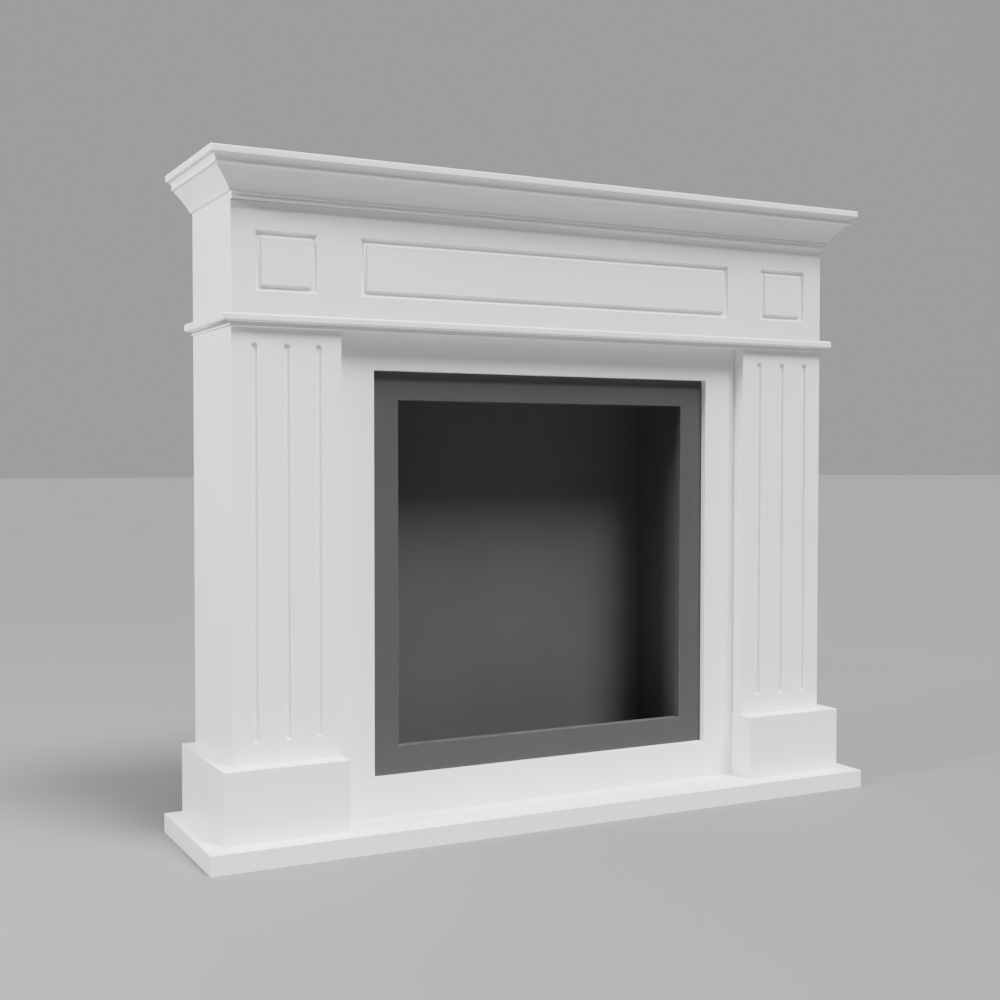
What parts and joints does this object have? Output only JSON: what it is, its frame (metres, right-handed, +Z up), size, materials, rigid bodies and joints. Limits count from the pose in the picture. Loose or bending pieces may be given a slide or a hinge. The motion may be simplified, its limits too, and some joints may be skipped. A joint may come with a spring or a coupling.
{
  "type": "bioethanol fireplace",
  "caption": "Painted mantel surround with fluted pilasters, moulded cornice and shelf on a hearth slab, around an open sheet steel firebox.",
  "frame": {"origin": "on the floor, under the middle of the hearth slab", "axes": "+X along the shelf to the right of someone facing the fireplace, +Y from the front to the wall, +Z up"},
  "size_m": [1.2, 0.27, 1.0399],
  "materials": {
    "painted_board": "satin white paint on fibreboard",
    "painted_steel": "matt charcoal heat-proof paint"
  },
  "bodies": {
    "root": {"hearth_slab": "painted_board", "plinth_block_left": "painted_board", "pilaster_left": "painted_board", "plinth_block_right": "painted_board", "pilaster_right": "painted_board", "surround_panel": "painted_board", "firebox_frame": "painted_steel", "firebox_shell": "painted_steel", "firebox_floor": "painted_steel", "frieze": "painted_board", "band_moulding": "painted_board", "cornice": "painted_board", "shelf": "painted_board"}
  },
  "joints": []
}
